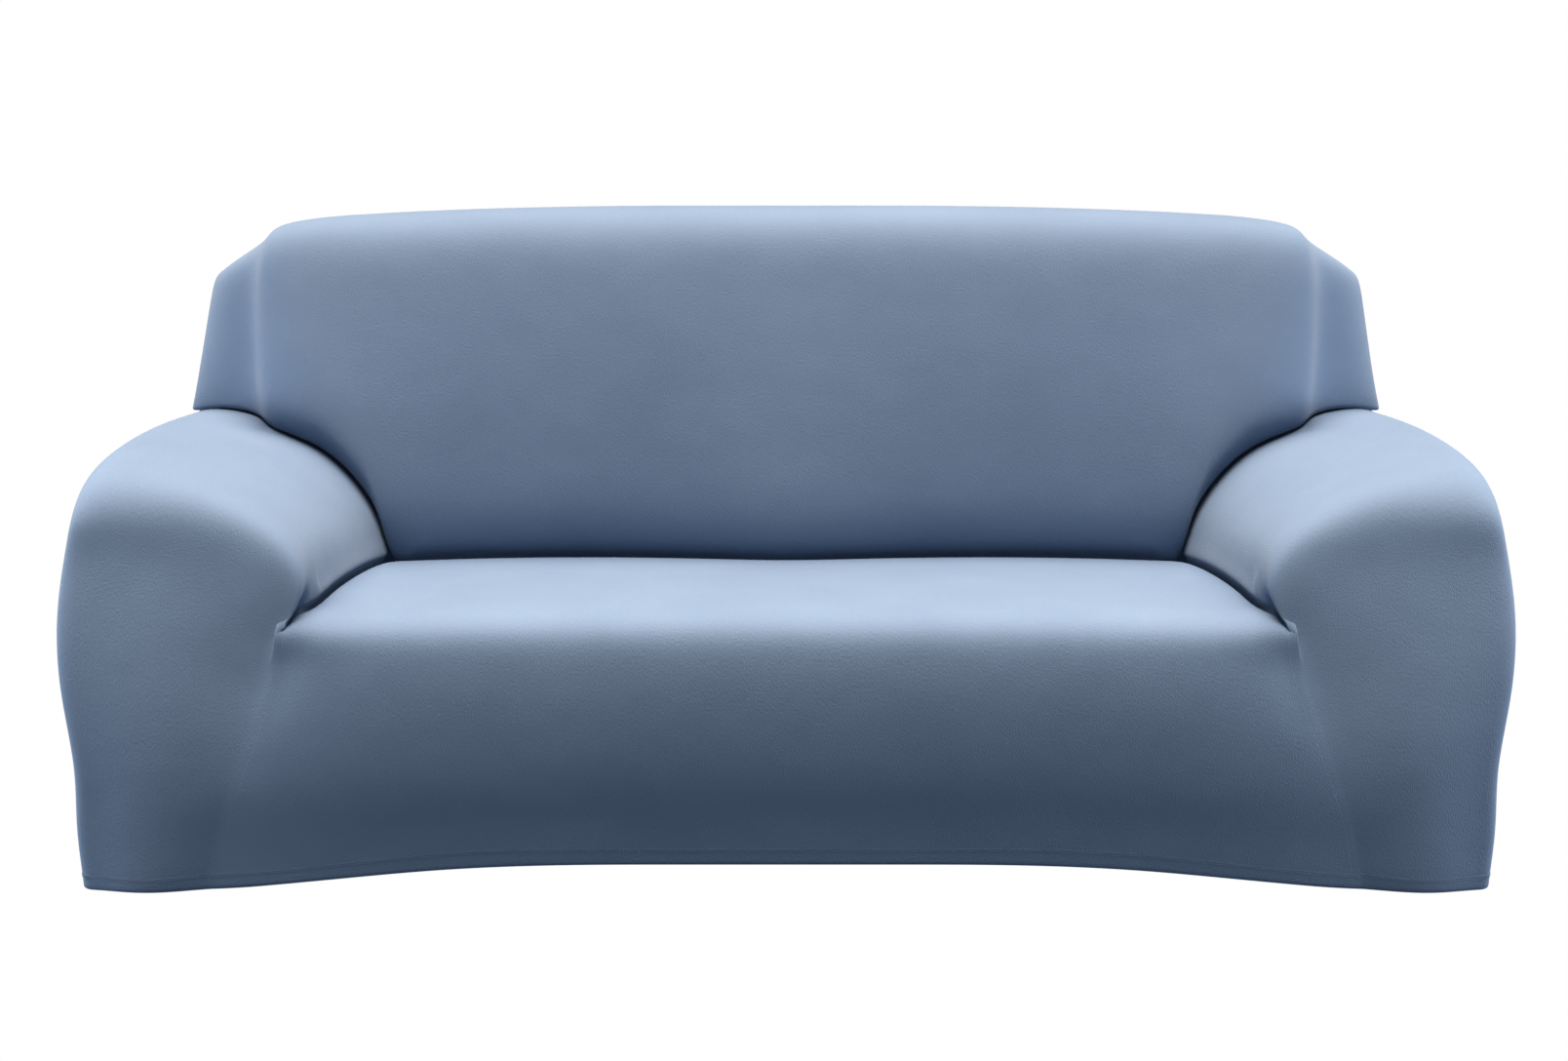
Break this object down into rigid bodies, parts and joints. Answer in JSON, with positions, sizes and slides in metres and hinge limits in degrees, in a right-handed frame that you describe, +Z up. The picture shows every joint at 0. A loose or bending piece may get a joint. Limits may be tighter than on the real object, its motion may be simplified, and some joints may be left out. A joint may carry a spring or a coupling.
{
  "type": "sofa slipcover",
  "caption": "Fitted stretch cover for a sofa with low rounded arms: smooth knit panels tucked in beside the seat, with an elastic hem.",
  "frame": {"origin": "on the floor, under the middle of the cover's outer box", "axes": "+X to the right of someone who faces the sofa, -Y to the front, +Z up"},
  "size_m": [2.0834, 0.9082, 0.9644],
  "materials": {
    "knit_cloth": "matt stretch knit with a brushed face"
  },
  "bodies": {
    "root": {"inside_back": "knit_cloth", "seat_and_front": "knit_cloth", "arm_left": "knit_cloth", "arm_right": "knit_cloth", "outside_back": "knit_cloth"}
  },
  "joints": []
}
